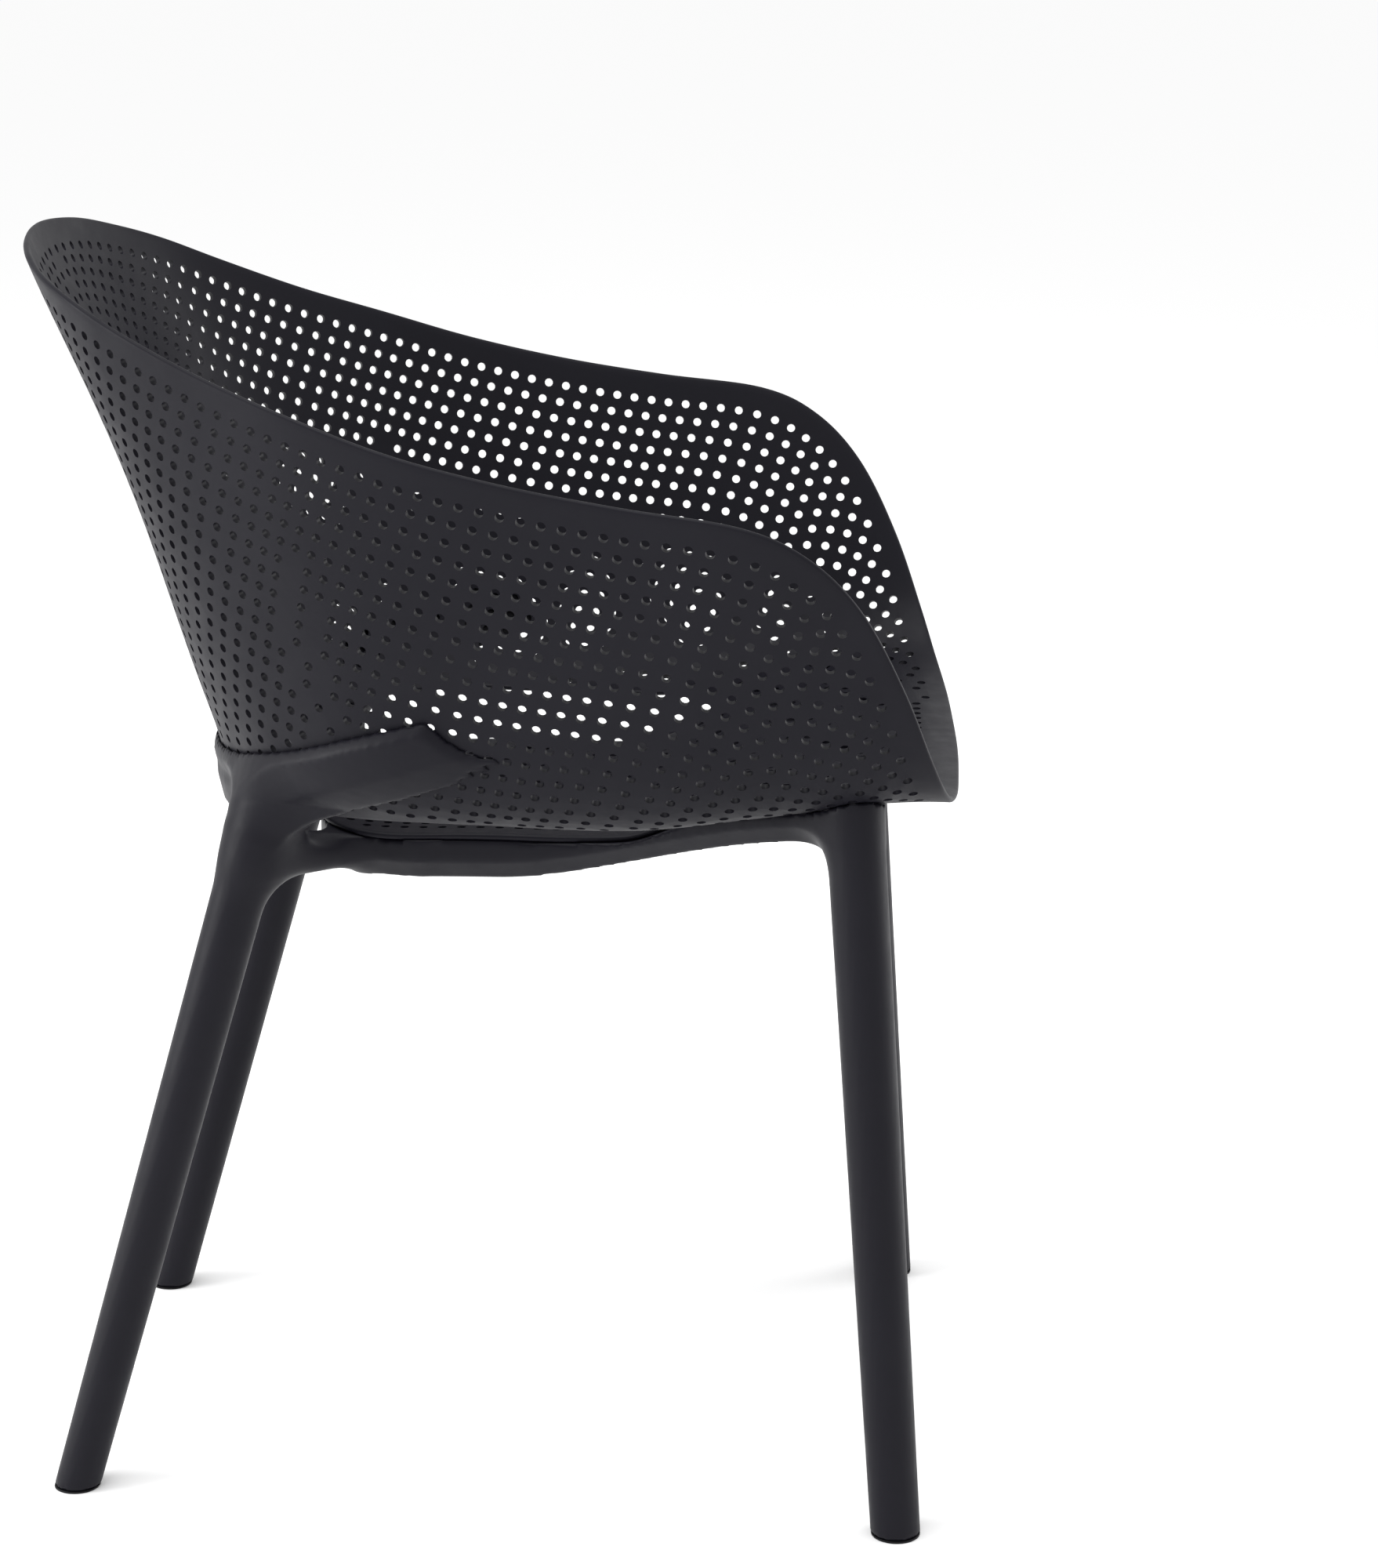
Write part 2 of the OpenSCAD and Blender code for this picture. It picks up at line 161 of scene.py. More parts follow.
def half_skin(t, v):
    rim, corner, middle, up, inward, turn_up, turn_in = rib_form(t)
    q1 = corner + (rim - corner) * (turn_up / up)[:, None]
    q2 = corner + (middle - corner) * (turn_in / inward)[:, None]
    a, b = up - turn_up, BEND_SHARE * (turn_up + turn_in)
    s = v * (a + b + inward - turn_in)
    wall = mix(rim, q1, np.clip(s / a, 0, 1)[:, None])
    f = np.clip((s - a) / b, 0, 1)[:, None]
    bend = (1 - f) ** 2 * q1 + 2 * f * (1 - f) * corner + f * f * q2
    pan = mix(q2, middle, np.clip((s - a - b) / (inward - turn_in), 0, 1)[:, None])
    p = np.where((s < a)[:, None], wall, np.where((s < a + b)[:, None], bend, pan))
    height = np.clip((p[:, 2] - PAN_H - 31) / (BACK_H - PAN_H - 31), 0, 1)
    swell = LUMBAR * (1 - smooth(abs(p[:, 0]) / 200)) * smooth((p[:, 1] - 60) / 80)
    p[:, 1] -= swell * np.sin(np.pi * height**1.4) ** 2
    low = 1 - smooth((p[:, 2] - PAN_H - 16) / 60)
    p[:, 2] -= SINK * smooth((185 - abs(p[:, 0])) / 58) * smooth((p[:, 1] + 170) / 80) * low
    return p


def skin(s, v):
    """A point of the outer skin. s runs round the rim from 0 at the back, v from the rim to the middle."""
    s, v = np.broadcast_arrays(np.asarray(s, float), np.asarray(v, float))
    s = np.where(s > LAST, s - 2 * LAST, np.where(s < -LAST, s + 2 * LAST, s))
    p = half_skin(abs(s), v)
    p[:, 0] *= np.where(s < 0, -1, 1)
    return p


def slopes(s, v):
    """How the skin moves with s and with v."""
    k = np.clip(v, 0.005, 0.985)
    return (skin(s + 0.02, k) - skin(s - 0.02, k)) / 0.04, (skin(s, k + 0.004) - skin(s, k - 0.004)) / 0.008


def outward(s, v):
    along, down = slopes(s, v)
    return unit(np.cross(along, down))


# ---------------------------------------------------------------- the slot, seen from above

TONGUE_HALF = 127.0
SLOT_HALF = 181.0
TONGUE_REAR = 112.0
SLOT_REAR = 165.0
SLOT_FRONT = 112.0
SLOT_CORNER = 140.0
TONGUE_CORNER = 60.0


def arc(x, y, radius, start, end, step=4.0):
    n = max(3, round(abs(math.radians(end - start)) * radius / step))
    angles = np.radians(np.linspace(start, end, n + 1))
    return np.stack([x + radius * np.cos(angles), y + radius * np.sin(angles)], 1)


def straight(x0, y0, x1, y1, step=5.0):
    n = max(2, round(math.hypot(x1 - x0, y1 - y0) / step))
    k = np.linspace(0, 1, n + 1)
    return np.stack([mix(x0, x1, k), mix(y0, y1, k)], 1)


def slot_outline(grow):
    """One half of the slot's edge, moved out from the slot by grow: rear middle, side, front end, tongue."""
    middle = (SLOT_HALF + TONGUE_HALF) / 2
    outer, inner = SLOT_HALF + grow, TONGUE_HALF - grow
    corner, tongue = SLOT_CORNER + grow, TONGUE_CORNER - grow
    parts = [
        straight(0, SLOT_REAR + grow, SLOT_HALF - SLOT_CORNER, SLOT_REAR + grow),
        arc(SLOT_HALF - SLOT_CORNER, SLOT_REAR - SLOT_CORNER, corner, 90, 0),
        straight(outer, SLOT_REAR - SLOT_CORNER, outer, -SLOT_FRONT),
        arc(middle, -SLOT_FRONT, outer - middle, 0, -180),
        straight(inner, -SLOT_FRONT, inner, TONGUE_REAR - TONGUE_CORNER),
        arc(TONGUE_HALF - TONGUE_CORNER, TONGUE_REAR - TONGUE_CORNER, tongue, 0, 90),
        straight(TONGUE_HALF - TONGUE_CORNER, TONGUE_REAR - grow, 0, TONGUE_REAR - grow),
    ]
    return np.vstack([parts[0]] + [p[1:] for p in parts[1:]])


def from_plan(xy):
    """Stations and v of the points of the seat that lie under plan points xy, by Newton's method."""
    t, v = (g.ravel() for g in np.meshgrid(np.arange(0, LAST + 0.1, 0.25), np.arange(0.3, 1.001, 0.02)))
    known = skin(t, v)[:, :2]
    nearest = np.array([np.argmin(((known - p) ** 2).sum(1)) for p in xy])
    t, v = t[nearest], v[nearest]
    for _ in range(12):
        miss = xy - skin(t, v)[:, :2]
        h = 1e-4
        v0, t0 = np.clip(v, h, 1 - h), np.clip(t, h, LAST - h)
        dt = (skin(t0 + h, v0) - skin(t0 - h, v0))[:, :2] / (2 * h)
        dv = (skin(t0, v0 + h) - skin(t0, v0 - h))[:, :2] / (2 * h)
        det = dt[:, 0] * dv[:, 1] - dt[:, 1] * dv[:, 0]
        t = np.clip(t + (miss[:, 0] * dv[:, 1] - miss[:, 1] * dv[:, 0]) / det, 0, LAST)
        v = np.clip(v + (dt[:, 0] * miss[:, 1] - dt[:, 1] * miss[:, 0]) / det, 0, 1)
    return t, v


def inside(xy, outline):
    """Which points lie inside a closed outline."""
    a, b = outline, np.roll(outline, -1, axis=0)
    x, y = xy[:, 0:1], xy[:, 1:2]
    crosses = (a[:, 1] > y) != (b[:, 1] > y)
    with np.errstate(divide="ignore", invalid="ignore"):
        at = a[:, 0] + (y - a[:, 1]) * (b[:, 0] - a[:, 0]) / (b[:, 1] - a[:, 1])
    return (crosses & (x < at)).sum(1) % 2 == 1


# ---------------------------------------------------------------- the perforation

PITCH = 12.35
HOLE_R = 3.0
HOLE_SIDES = 12
CLOSEST = 0.86 * PITCH  # a hole nearer than this to one already there is left out
MAX_ROWS = 60
PLAIN_BAND = 20.0       # from the rim to the middle of the first row of holes
PLAIN_EDGE = 10.0       # the same at the slot
FIRST_COLUMN = 10.66    # station at which one column of holes starts; the others are counted from it
# How far a column of holes moves along the rim as it goes down, in stations for the whole rib
DRIFT = [(0, -6.5), (2.5, -6.3), (3, -6), (3.5, -5.3), (4, -4.8), (5, -4.2), (6, -4), (7, -3.4), (8, -1.9),
         (9, -1.2), (10, -0.15), (11.4, 0.8), (12.8, 2.3), (14, 3), (18, 3)]


def drift(t):
    return np.interp(t, *zip(*DRIFT))


def first_row(t):
    return PLAIN_BAND / rib_length(t)


def column_starts():
    """Stations where the columns start, so that the columns lie one pitch apart."""
    starts = []
    for way in (1, -1):
        t = np.array([FIRST_COLUMN])
        while 0 < t[0] < LAST:
            starts.append(t[0])
            v, h = first_row(t), 0.05
            ahead, behind = t + h, t - h
            after = skin(ahead, first_row(np.clip(ahead, 0, LAST)))
            row = (after - skin(behind, first_row(abs(behind)))) / (2 * h)
            along, down = slopes(t, v)
            column = unit(along * drift(t) + down)
            width = np.linalg.norm(np.cross(row, column))
            t = t + way * PITCH / width
    return np.array(sorted(set(starts)))


def wall_holes():
    """Rows of holes one pitch apart down each column, by the midpoint method."""
    t = column_starts()
    v = first_row(t)
    found = []
    for _ in range(MAX_ROWS):
        ok = (t > 0) & (t < LAST) & (v < 0.9)
        found.append(np.stack([t[ok], v[ok]], 1))
        t, v = t[ok], v[ok]
        if not len(t):
            break
        mid_t, mid_v = t, v
        for share in (0.5, 1):
            along, down = slopes(mid_t, mid_v)
            step = share * PITCH / np.linalg.norm(along * drift(mid_t)[:, None] + down, axis=1)
            mid_t, mid_v = np.clip(t + drift(mid_t) * step, -1, LAST + 1), v + step
        t, v = mid_t, mid_v
    return np.vstack(found)


def seat_holes():
    """Square rows of holes in the flat of the seat: the tongue and the part in front of the slot."""
    side = np.arange(0.5, 20) * PITCH
    x, y = (g.ravel() for g in np.meshgrid(side, np.arange(-24, 12) * PITCH + 3.0))
    xy = np.stack([x, y], 1)
    front = (y < -SLOT_FRONT) & (x < SLOT_HALF + 4)
    middle = (y >= -SLOT_FRONT) & (x < TONGUE_HALF) & (y < TONGUE_REAR)
    xy = xy[front | middle]
    t, v = from_plan(xy)
    off = np.linalg.norm(skin(t, v)[:, :2] - xy, axis=1)
    ok = (off < 0.5) & (v > first_row(t))
    return np.stack([t[ok], v[ok]], 1)


def all_holes():
    """Stations and v of every hole in one half of the tub."""
    edge = skin(*from_plan(slot_outline(0)))
    opening = np.vstack([slot_outline(0), [(0, TONGUE_REAR), (0, SLOT_REAR)]])
    within = np.vstack([[(0, -SLOT_FRONT)], slot_outline(0)[:outer_count()], [(SLOT_HALF, -SLOT_FRONT)]])
    seat = seat_holes()
    wall = wall_holes()
    xyz = skin(*wall.T)
    ok = (abs(xyz[:, 0]) > PITCH / 2 - 0.4) & ~inside(xyz[:, :2], opening)
    rear = (xyz[:, 1] > -SLOT_FRONT) & (wall[:, 1] > 0.3) & (xyz[:, 0] < SLOT_HALF)
    rear &= inside(xyz[:, :2], within)
    front = (xyz[:, 1] <= -SLOT_FRONT) & (xyz[:, 0] < SLOT_HALF + 4) & (wall[:, 1] > 0.15)
    wall = wall[ok & ~rear & ~front]
    seat = seat[~inside(skin(*seat.T)[:, :2], opening)]
    holes, placed = [], np.empty((0, 3))
    for t, v in np.vstack([wall, seat]):
        p = skin([t], [v])[0]
        near = np.sqrt(((placed - p) ** 2).sum(1).min()) if len(placed) else 1e9
        if near > CLOSEST and np.sqrt(((edge - p) ** 2).sum(1).min()) > PLAIN_EDGE:
            holes.append((t, v))
            placed = np.vstack([placed, p])
    return np.array(holes)


def outer_count():
    """How many points of the slot's outline lie on its outer side, before the front end."""
    outline = slot_outline(0)
    return int(np.argmax((outline[:, 1] <= -SLOT_FRONT) & (outline[:, 0] > TONGUE_HALF))) + 1


# ---------------------------------------------------------------- meshes


def new_object(name, vertices, faces, material, scale=MM):
    mesh = bpy.data.meshes.new(name)
    mesh.from_pydata((np.asarray(vertices) * scale).tolist(), [], faces)
    mesh.validate()
    piece = bpy.data.objects.new(name, mesh)
    bpy.context.scene.collection.objects.link(piece)
    mesh.materials.append(material)
    return piece


def shade(piece, angle=35):
    mesh = piece.data
    mesh.shade_smooth()
    mesh.set_sharp_from_angle(angle=math.radians(angle))


ROUND = WALL / 2        # the tub's edges are rounded over their whole thickness
ROUND_STEPS = 6
DOMAIN_T, DOMAIN_V = 33.0, 420.0    # rough size of a station and of a rib, for even triangles


def polyline(start, end, step=0.12):
    """Points on a straight line of the half tub's (t, v) chart."""
    n = max(2, round(np.linalg.norm((np.array(end) - start) * (1, 12)) / step))
    return np.stack([np.linspace(start[k], end[k], n + 1) for k in range(2)], 1)


def half_chart():
    """Points of one half of the tub in (t, v), its outline, its holes and the edges that are rounded."""
    rim_t = np.linspace(LAST, 0, 181)
    rim = np.stack([rim_t, ROUND / rib_length(rim_t)], 1)
    slot = np.stack(from_plan(slot_outline(ROUND)), 1)
    slot[0, 0], slot[-1, 0] = 0, 0
    outline = np.vstack([
        rim, polyline(rim[-1], slot[0])[1:-1], slot, polyline(slot[-1], (0, 1))[1:-1],
        polyline((0, 1), (LAST, 1), 0.3)[:-1], polyline((LAST, 1), rim[0])[:-1]])
    rim_ids = np.arange(len(rim))
    start = np.argmin(np.abs(outline - slot[0]).sum(1))
    slot_ids = np.arange(start, start + len(slot))
    holes = all_holes()
    n_vec = outward(*holes.T)
    along, down = slopes(*holes.T)
    e1 = unit(along)
    e2 = np.cross(n_vec, e1)
    loops = []
    for k in range(HOLE_SIDES):
        angle = 2 * math.pi * k / HOLE_SIDES
        want = HOLE_R * (math.cos(angle) * e1 + math.sin(angle) * e2)
        aa, bb = (along**2).sum(1), (down**2).sum(1)
        ab = (along * down).sum(1)
        wa, wb = (want * along).sum(1), (want * down).sum(1)
        det = aa * bb - ab * ab
        moved = np.stack([(wa * bb - wb * ab) / det, (wb * aa - wa * ab) / det], 1)
        loops.append(moved + holes)
    loops = np.stack(loops, 1)
    band_t = np.linspace(0.15, LAST - 0.15, 150)
    bands = [np.stack([band_t, d / rib_length(band_t)], 1) for d in (6.0, 11.0)]
    lining = np.stack(from_plan(slot_outline(4.8)[1:-1]), 1)
    return outline, rim_ids, slot_ids, loops, np.vstack(bands + [lining])


def tub_mesh():
    """Points and faces of the whole tub: both skins, the holes' walls and the rounded edges."""
    outline, rim_ids, slot_ids, loops, extra = half_chart()
    count = len(outline)
    chart = np.vstack([outline, loops.reshape(-1, 2), extra])
    edges = [(i, (i + 1) % count) for i in range(count)]
    for h in range(len(loops)):
        base = count + h * HOLE_SIDES
        edges += [(base + k, base + (k + 1) % HOLE_SIDES) for k in range(HOLE_SIDES)]
    flat = chart * (DOMAIN_T, DOMAIN_V)
    _, _, faces, sources, _, _ = delaunay_2d_cdt([Vector(p) for p in flat], edges, [], 0, 1e-5, True)
    source = np.array([min(ids) if ids else -1 for ids in sources])
    tris = source[np.array([f for f in faces if len(f) == 3])]
    tris = tris[(tris >= 0).all(1)]
    on_plane = np.zeros(len(chart), bool)
    t, v = chart[:count].T
    on_plane[:count] = (t < 1e-9) | (t > LAST - 1e-9) | (v > 1 - 1e-9)
    hole = np.full(len(chart), -1)
    hole[count:count + len(loops) * HOLE_SIDES] = np.repeat(np.arange(len(loops)), HOLE_SIDES)
    of = hole[tris]
    in_hole = (of[:, 0] >= 0) & (of[:, 0] == of[:, 1]) & (of[:, 1] == of[:, 2])
    middles = np.array_split(flat[tris].mean(1), 40)
    in_tub = np.concatenate([inside(part, flat[:count]) for part in middles])
    tris = tris[~in_hole & ~on_plane[tris].all(1) & in_tub]

    outer, normal = skin(*chart.T), outward(*chart.T)
    outer[on_plane, 0] = 0
    normal[on_plane, 0] = 0
    normal = unit(normal)
    points = [outer, outer - WALL * normal]
    n = len(chart)
    faces = [tuple(f) for f in tris] + [tuple(f[::-1] + n) for f in tris]
    for h in range(len(loops)):
        base = count + h * HOLE_SIDES
        for k in range(HOLE_SIDES):
            a, b = base + k, base + (k + 1) % HOLE_SIDES
            faces.append((b, a, a + n, b + n))

    flags = [on_plane, on_plane]
    total = 2 * n
    for ids, is_rim in ((rim_ids, True), (slot_ids, False)):
        p, m = outer[ids], normal[ids]
        ahead = np.vstack([p[1:], p[-2] * (-1, 1, 1)])
        behind = np.vstack([p[1] * (-1, 1, 1), p[:-1]])
        out = unit(np.cross(m, unit(ahead - behind)))
        if (out * (-slopes(*chart[ids].T)[1])).sum() < 0 and is_rim:
            out = -out
        if not is_rim and (out[0] @ np.array([0, -1, 0])) < 0:
            out = -out
        out[[0, -1], 0] = 0
        out = unit(out)
        rings = [ids]
        for j in range(1, ROUND_STEPS):
            angle = math.pi * j / ROUND_STEPS
            points.append(p - ROUND * m + ROUND * (math.cos(angle) * m + math.sin(angle) * out))
            flags.append(on_plane[ids])
            rings.append(np.arange(total, total + len(ids)))
            total += len(ids)
        rings.append(ids + n)
        for low, high in zip(rings, rings[1:]):
            faces += [(low[i], low[i + 1], high[i + 1], high[i]) for i in range(len(ids) - 1)]

    points, flags = np.vstack(points), np.concatenate(flags)
    mirrored = np.arange(len(points)) + len(points)
    mirrored[flags] = np.arange(len(points))[flags]
    whole = np.vstack([points, points * (-1, 1, 1)])
    faces += [tuple(int(mirrored[i]) for i in reversed(f)) for f in list(faces)]
    faces = [tuple(int(i) for i in f) for f in faces]
    whole[:, 1] += SHIFT_Y
    return whole, faces


def drop_loose(mesh):
    """Removes points that no face uses, and turns every face outward."""
    bm = bmesh.new()
    bm.from_mesh(mesh)
    bmesh.ops.delete(bm, geom=[v for v in bm.verts if not v.link_faces], context="VERTS")
    bmesh.ops.recalc_face_normals(bm, faces=bm.faces)
    bm.to_mesh(mesh)
    bm.free()


def make_tub(material):
    piece = new_object("perforated_tub", *tub_mesh(), material)
    drop_loose(piece.data)
    shade(piece)
    return piece


# ---------------------------------------------------------------- frame

LEG_TOP = 478.0
PAD_H = 1.5
FRONT_LEG = np.array([(221, -270, 0), (196, -238, LEG_TOP)], float)
REAR_LEG = np.array([(173.7, 270, 0), (149.6, 131.5, LEG_TOP)], float)
FRONT_R = (16.0, 18.4)
REAR_R = (14.7, 17.7)
REAR_LEG_END = 440.0
REAR_TIP = 470.0
TIP_R = 12.0
FRONT_BLEND = 30.0      # the fillets are filled over about this far
REAR_BLEND = 40.0
ARM_BLEND = 22.0
BODY_BLEND = 14.0
ARM = np.array([(151.0, 140.0, 424.0), (104.0, 84.0, 423.0)])
ARM_R = 13.0
STEM_R = 8.0
STEM_H = 21.0
RAIL_W = 30.0
RAIL_LOW = 404.0
RAIL_BEVEL = (14.0, 15.0)
RAIL_RISE = 44.0        # the ring climbs by this much to the front rail
RAIL_DIP = 22.0         # and the middle of the front rail comes down again by this much
RING_HALF = [(0, 112), (67, 112), (109.6, 94.6), (127, 52), (127, 20), (127, -30), (131, -70), (144, -110),
             (161, -150), (179, -190), (189, -222), (172, -247), (127, -247), (60, -247), (0, -247)]
CRADLE_T = 9.0
CRADLE_HOLD = 468.0
CRADLE_BACK = 0.62      # thickness behind the back, as a share
CRADLE_EDGE = (3.2, 0.76, 0.8)      # thickness at the top edge, what it gains downward, slope's length
CRADLE_FOOT = (2.7, 0.35, 0.94)     # the same at the bottom edge, upward
# Cradle stations: station, top edge, bottom edge
CRADLE_FORM = [
    (0, 482, 441), (1.5, 484, 442), (3, 491, 445), (4, 500, 451), (4.6, 506, 457), (5.3, 514, 466),
    (5.9, 521, 473), (6.6, 529, 481), (7.1, 535, 488), (7.4, 523, 492), (7.7, 515, 498), (8.1, 511, 507),
]
SCREW_SPOTS = [(105, 45), (105, -40), (70, -225)]
HEAD_H = 3.5
POCKET_R = 5.6
BOSS_DROP = 14.0        # from the pan to a screw's seat
SEAT_GAP = 0.2
FIT_GAP = 0.2
VOXEL = 2.4
FRAME_SMOOTHING = 2
GLIDE_SIDES = 64
GRID_LOW = np.array([0.0, -300.0, -2.0])
GRID_HIGH = np.array([250.0, 300.0, 550.0])


def blend_min(a, b, radius):
    """The union of two distance fields, with the corner between them filled over about that radius."""
    h = np.clip(1 - abs(a - b) / radius, 0, 1)
    return np.minimum(a, b) - h * h * radius / 4


def rod(grid, ends, radii, foot=False):
    """Distance to a tapered rod with round ends; a foot is cut level and has a socket for its glide."""
    start, axis = ends[0], ends[1] - ends[0]
    length = np.linalg.norm(axis)
    axis = axis / length
    x, y, z = (g - s for g, s in zip(grid, start))
    h = x * axis[0] + y * axis[1] + z * axis[2]
    k = np.clip(h, 0, length)
    off = np.sqrt((x - k * axis[0]) ** 2 + (y - k * axis[1]) ** 2 + (z - k * axis[2]) ** 2)
    d = off - mix(radii[0], radii[1], k / length)
    if not foot:
        return d
    socket = np.maximum(off - STEM_R - FIT_GAP, h - STEM_H - 1)
    return np.maximum(np.maximum(d, PAD_H + 0.15 - grid[2]), -socket)


def smooth_outline(points, steps=8):
    """Catmull-Rom curve through a closed outline."""
    p = np.array(points, float)
    a, b, c, d = np.roll(p, 1, 0), p, np.roll(p, -1, 0), np.roll(p, -2, 0)
    f = (np.arange(steps) / steps)[None, :, None]
    a, b, c, d = (q[:, None] for q in (a, b, c, d))
    q = 0.5 * (2 * b + (c - a) * f + (2 * a - 5 * b + 4 * c - d) * f**2 + (3 * b - a - 3 * c + d) * f**3)
    return q.reshape(-1, 2)


def outline_distance(x, y, outline):
    """How far inside the outline each plan point is; negative outside."""
    points = np.stack(np.broadcast_arrays(x, y), -1).reshape(-1, 2)
    nearest = np.full(len(points), 1e9)
    for a, b in zip(outline, np.roll(outline, -1, 0)):
        ab = b - a
        k = np.clip(((points - a) @ ab) / (ab @ ab), 0, 1)
        nearest = np.minimum(nearest, ((points - a - k[:, None] * ab) ** 2).sum(1))
    sign = np.where(inside(points, outline), 1, -1)
    return (np.sqrt(nearest) * sign).reshape(np.broadcast_shapes(x.shape, y.shape))


def ring_distance(x, y, z):
    outline = smooth_outline(RING_HALF + [(-px, py) for px, py in RING_HALF[-2:0:-1]])
    inward = outline_distance(x[:, :, 0], y[:, :, 0], outline)[:, :, None]
    dip = RAIL_DIP * smooth((-y - 215) / 30) * smooth((190 - x) / 40)
    low = RAIL_LOW + RAIL_RISE * smooth((-y - 10) / 220) - dip
    run, rise = RAIL_BEVEL
    bevel = (run * rise - rise * inward - run * (z - low)) / math.hypot(run, rise)
    return np.maximum.reduce([-inward + 0 * z, inward - RAIL_W + 0 * z, low - z, bevel, z - low - 70])


def tub_distance(shape):
    """Distance outside the tub's skin on the half grid, negative inside."""
    cols, rows = 144, 48
    s, v = np.meshgrid(np.arange(cols) * 2 * LAST / cols - LAST, np.linspace(0, 1, rows + 1))
    points = np.vstack([skin(s.ravel(), v.ravel()), [(0, 0, BACK_H + 50)]]).astype(np.float32)
    j, i = (g.ravel() for g in np.meshgrid(np.arange(rows), np.arange(cols), indexing="ij"))
    after = (i + 1) % cols
    quads = np.stack([j * cols + i, j * cols + after, (j + 1) * cols + after, (j + 1) * cols + i], 1)[:, ::-1]
    ring = np.arange(cols)
    lid = np.stack([ring, (ring + 1) % cols, np.full(cols, cols * (rows + 1))], 1)
    transform = openvdb.createLinearTransform(VOXEL)
    points = points - GRID_LOW
    grid = openvdb.FloatGrid.createLevelSetFromPolygons(
        points.astype(np.float32), triangles=lid.astype(np.uint32), quads=quads.astype(np.uint32),
        transform=transform, exBandWidth=24.0, inBandWidth=24.0)
    field = np.zeros(shape, np.float32)
    grid.copyToArray(field)
    return field


def cradle_distance(x, y, z, tub):
    """A band on the tub that rises to an ear on each side, and the slope that bounds whatever joins it.

    Below the tub's turn the band hangs straight down.
    """
    heights = z[0, 0]
    stations = np.linspace(0, 9, 46)
    form = list(zip(*CRADLE_FORM))
    angle = np.arctan2(x[:, :, 0], y[:, :, 0] + 60)
    hold = int(np.searchsorted(heights, CRADLE_HOLD))
    edge, foot = CRADLE_EDGE, CRADLE_FOOT
    out = np.full(tub.shape, 1e3, np.float32)
    bound = np.full(tub.shape, -1e3, np.float32)
    for k, height in enumerate(heights):
        if not 415 < height < 545:
            continue
        layer = max(k, hold)
        low, high = np.zeros(len(stations)), np.full(len(stations), 0.9)
        for _ in range(14):
            middle = (low + high) / 2
            above = skin(stations, middle)[:, 2] > heights[layer]
            low, high = np.where(above, middle, low), np.where(above, high, middle)
        on = skin(stations, low)
        s = np.interp(angle, np.arctan2(on[:, 0], on[:, 1] + 60), stations)
        top, bottom = (np.interp(s, form[0], form[n]) for n in (1, 2))
        behind = CRADLE_BACK + (1 - CRADLE_BACK) * smooth((s - 2.0) / 2.0)
        thin = behind * (1 - 0.5 * smooth((s - 6.5) / 1.6))
        d = tub[:, :, layer]
        face = d - CRADLE_T * thin
        upper = (d - thin * (edge[0] + edge[1] * (top - height))) * edge[2]
        lower = (d - thin * (foot[0] + foot[1] * (height - bottom))) * foot[2]
        end = (s - CRADLE_FORM[-1][0]) * 30
        out[:, :, k] = np.maximum.reduce([face, lower, -2 - d, height - top, bottom - height, end])
        bound[:, :, k] = np.maximum(upper, height - top)
    return out, bound


def screw_head(x, y):
    """Height of the underside of the screw's head at a plan point."""
    under = PAN_H + (pan_rise(y) if y < -200 else 4)
    return under - BOSS_DROP - HEAD_H


def toward_tub(point, tub):
    """The point moved level until it is on the tub's skin."""
    point = point.copy()
    for _ in range(4):
        i, j, k = np.rint((point - GRID_LOW) / VOXEL).astype(int)
        rise = np.array([tub[i + 1, j, k] - tub[i - 1, j, k], tub[i, j + 1, k] - tub[i, j - 1, k]])
        slope = rise / (2 * VOXEL)
        point[:2] -= slope / (slope @ slope) * tub[i, j, k]
    return point


def frame_field():
    """Distance to the whole frame on a grid: one half is worked out, and the other mirrors it."""
    counts = np.ceil((GRID_HIGH - GRID_LOW) / VOXEL).astype(int)
    x, y, z = (GRID_LOW[k] + VOXEL * np.arange(counts[k]) for k in range(3))
    x, y, z = x[:, None, None], y[None, :, None], z[None, None, :]
    tub = tub_distance(tuple(counts))
    grid = (x, y, z)
    rear_end = np.array([REAR_LEG[0], mix(*REAR_LEG, REAR_LEG_END / LEG_TOP)])
    rear_tip = np.array([rear_end[1], toward_tub(mix(*REAR_LEG, REAR_TIP / LEG_TOP), tub)])
    rear = np.minimum(rod(grid, rear_end, REAR_R, True), rod(grid, rear_tip, (REAR_R[1], TIP_R)))
    front = rod(grid, FRONT_LEG, FRONT_R, True)
    arm = rod(grid, ARM, (ARM_R, ARM_R))
    cradle, bound = cradle_distance(x, y, z, tub)
    ring = ring_distance(x, y, z)
    body = blend_min(ring, front, FRONT_BLEND)
    side = np.maximum(blend_min(cradle, rear, REAR_BLEND), bound)
    body = blend_min(body, blend_min(arm, side, ARM_BLEND), BODY_BLEND)
    body = np.maximum(body, SEAT_GAP - tub)
    for px, py in SCREW_SPOTS:
        pocket = np.maximum(np.hypot(x - px, y - py) - POCKET_R, z - screw_head(px, py) - HEAD_H)
        body = np.maximum(body, -pocket)
    return np.concatenate([body[:0:-1], body]).astype(np.float32)


